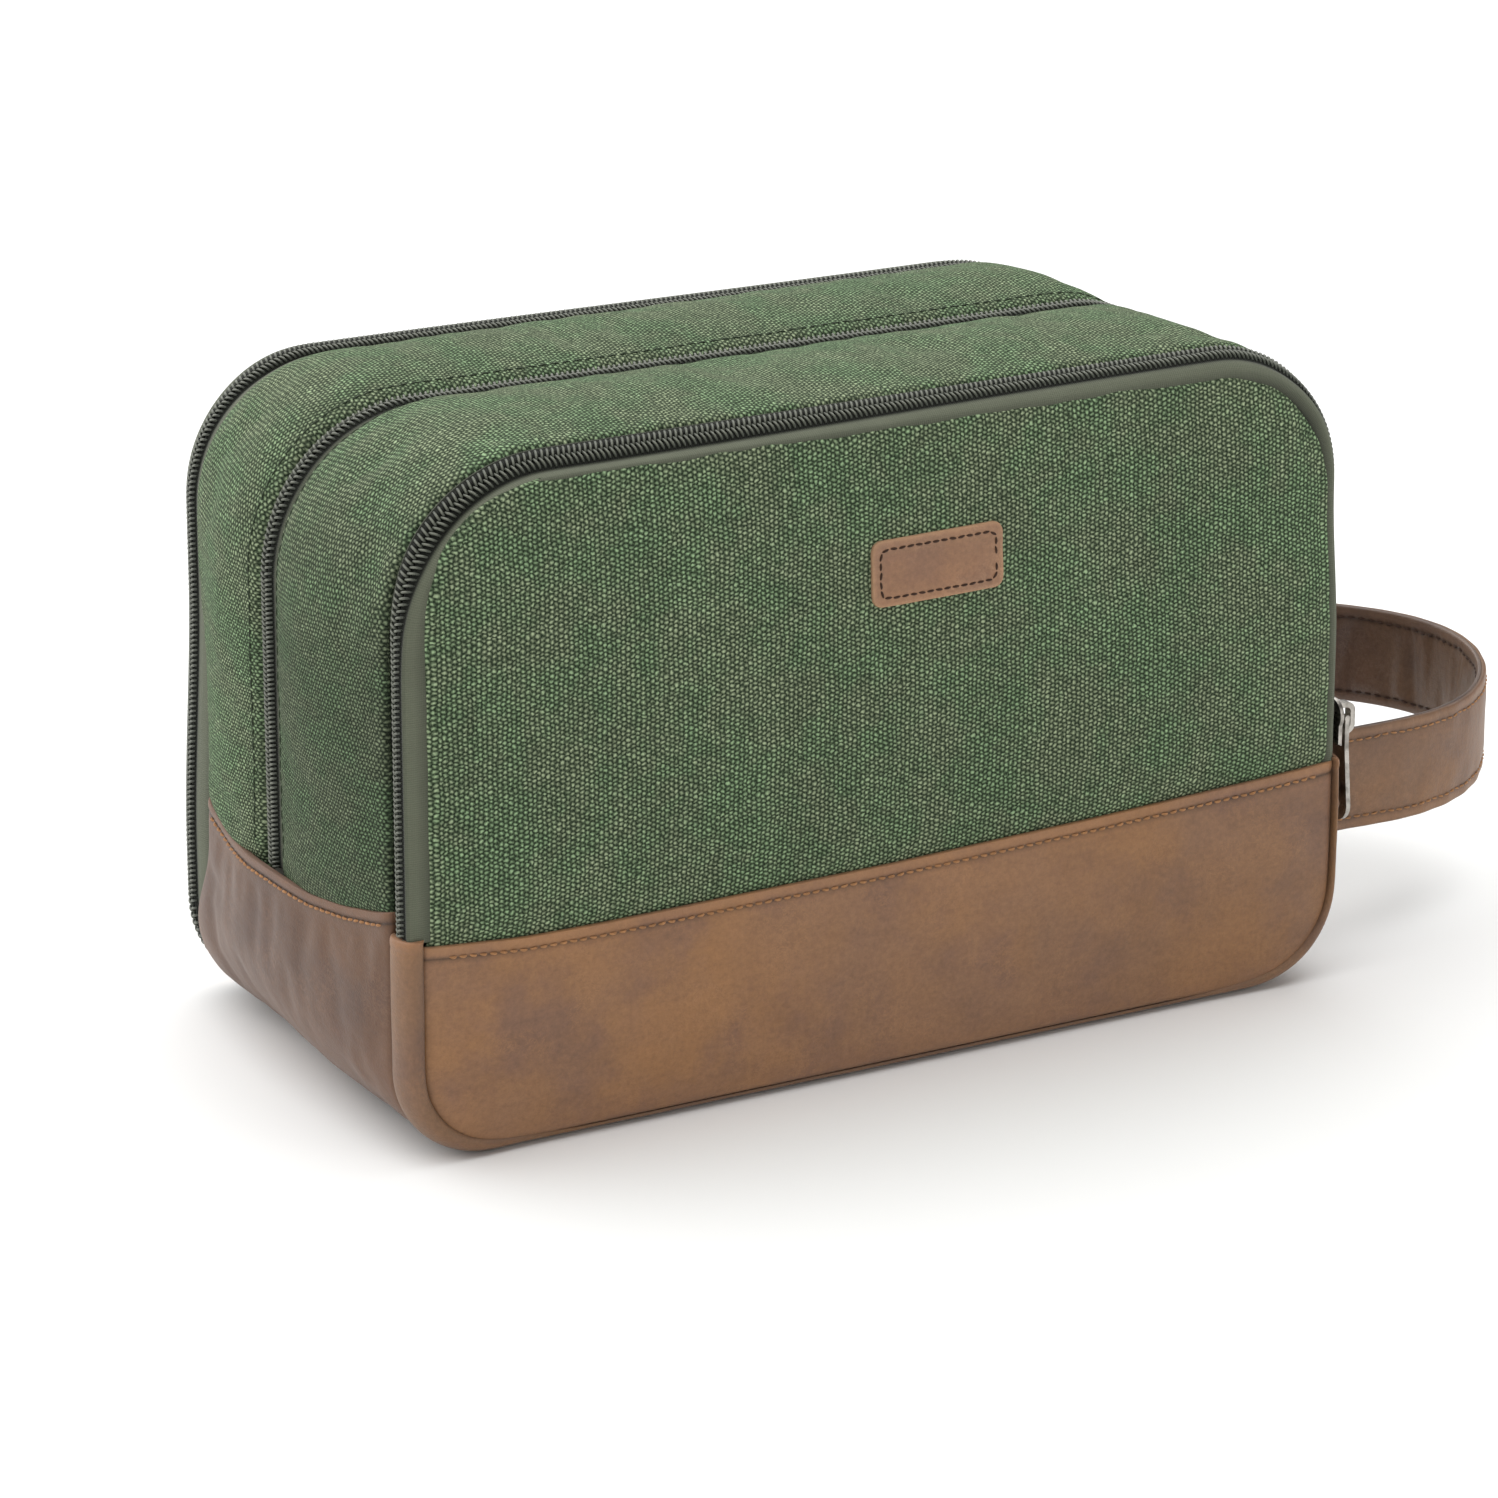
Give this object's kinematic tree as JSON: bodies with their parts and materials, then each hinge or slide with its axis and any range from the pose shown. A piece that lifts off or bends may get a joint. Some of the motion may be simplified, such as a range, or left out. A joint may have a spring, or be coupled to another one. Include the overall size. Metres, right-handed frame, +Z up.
{
  "type": "toiletry bag",
  "caption": "Soft toiletry bag of canvas over a leather base: zipped front pocket, main compartment and fold-flat rear panel, with a leather wrist strap.",
  "frame": {"origin": "on the floor, at the middle of the underside of the bag body (strap not counted)", "axes": "+X to the right along the front, towards the strap; -Y out of the front panel; +Z up"},
  "size_m": [0.3305, 0.1312, 0.16],
  "materials": {
    "canvas": "coarse duck canvas, matte",
    "leather": "mottled pull-up leather, satin",
    "label_leather": "tan leather, satin",
    "strap_lining": "dark creased leather, satin",
    "zip_tape": "woven polyester tape, matte",
    "zip_coil": "nylon coil, satin",
    "zip_metal": "nickel plate, polished",
    "lining": "plain polyester lining, matte",
    "binding": "ribbed binding tape, matte",
    "foam": "closed-cell foam, matte",
    "board": "polypropylene sheet, matte",
    "mesh": "open mesh, matte",
    "elastic": "woven elastic, matte"
  },
  "bodies": {
    "bag_base": {"side_base_leather": "leather", "base_padding": "foam", "base_lining": "lining", "base_board": "board", "front_panel_leather": "leather", "front_edge_strip": "leather", "front_lower_lining": "lining", "rear_hinge_strip": "leather", "front_divider_lower": "lining", "rear_divider": "lining", "rear_elastic_band": "elastic", "rear_gusset_canvas": "canvas", "rear_gusset_padding": "foam", "rear_gusset_lining": "lining", "rear_seam_binding": "binding", "mid_zip_tape_rear": "zip_tape", "mid_zip_coil_rear": "zip_coil", "rear_zip_tape_front": "zip_tape", "rear_zip_coil_front": "zip_coil"},
    "front_section": {"front_gusset_canvas": "canvas", "front_gusset_padding": "foam", "front_gusset_lining": "lining", "front_seam_binding": "binding", "front_divider": "lining", "front_mesh_pocket": "mesh", "mid_zip_tape_front": "zip_tape", "mid_zip_coil_front": "zip_coil", "front_zip_tape_rear": "zip_tape", "front_zip_coil_rear": "zip_coil"},
    "front_flap": {"front_panel_canvas": "canvas", "front_panel_padding": "foam", "front_panel_lining": "lining", "front_zip_tape_front": "zip_tape", "front_zip_coil_front": "zip_coil", "label_patch": "label_leather"},
    "rear_flap": {"rear_panel_canvas": "canvas", "rear_panel_leather": "leather", "rear_panel_padding": "foam", "rear_panel_lining": "lining", "rear_zip_tape_rear": "zip_tape", "rear_zip_coil_rear": "zip_coil"},
    "front_slider": {"front_slider": "zip_metal"},
    "mid_slider": {"mid_slider": "zip_metal"},
    "rear_slider": {"rear_slider": "zip_metal"},
    "front_pull": {"front_pull": "zip_metal"},
    "mid_pull": {"mid_pull": "zip_metal"},
    "rear_pull": {"rear_pull": "zip_metal"},
    "handle_strap": {"handle_strap": "leather", "handle_strap_lining": "strap_lining"}
  },
  "joints": [
    {"name": "front_section_tilt", "type": "hinge", "parent": "bag_base", "child": "front_section", "pos_m": [0, -0.0653, 0.0526], "axis": [1, 0, 0], "range_deg": [0, 22]},
    {"name": "front_flap_fold", "type": "hinge", "parent": "front_section", "child": "front_flap", "pos_m": [0, -0.0653, 0.0526], "axis": [1, 0, 0], "range_deg": [0, 80]},
    {"name": "rear_flap_fold", "type": "hinge", "parent": "bag_base", "child": "rear_flap", "pos_m": [0, 0.0653, 0.004], "axis": [-1, 0, 0], "range_deg": [0, 90]},
    {"name": "front_slider_run", "type": "slide", "parent": "front_section", "child": "front_slider", "axis": [0, 0, 1], "range_m": [0, 0.056]},
    {"name": "mid_slider_run", "type": "slide", "parent": "bag_base", "child": "mid_slider", "axis": [0, 0, 1], "range_m": [0, 0.056]},
    {"name": "rear_slider_run", "type": "slide", "parent": "bag_base", "child": "rear_slider", "axis": [0, 0, 1], "range_m": [-0.012, 0.08]},
    {"name": "front_pull_swing", "type": "hinge", "parent": "front_slider", "child": "front_pull", "pos_m": [0.1278, -0.0602, 0.0645], "axis": [0, -1, 0], "range_deg": [0, 150]},
    {"name": "mid_pull_swing", "type": "hinge", "parent": "mid_slider", "child": "mid_pull", "pos_m": [0.1278, 0.002, 0.0645], "axis": [0, -1, 0], "range_deg": [0, 150]},
    {"name": "rear_pull_swing", "type": "hinge", "parent": "rear_slider", "child": "rear_pull", "pos_m": [0.1278, 0.057, 0.0405], "axis": [0, -1, 0], "range_deg": [0, 150]},
    {"name": "handle_strap_flex", "type": "hinge", "parent": "bag_base", "child": "handle_strap", "pos_m": [0.1251, 0.00075, 0.046], "axis": [0, -1, 0], "range_deg": [-20, 20], "stiffness_Nm_per_rad": 0.25}
  ]
}
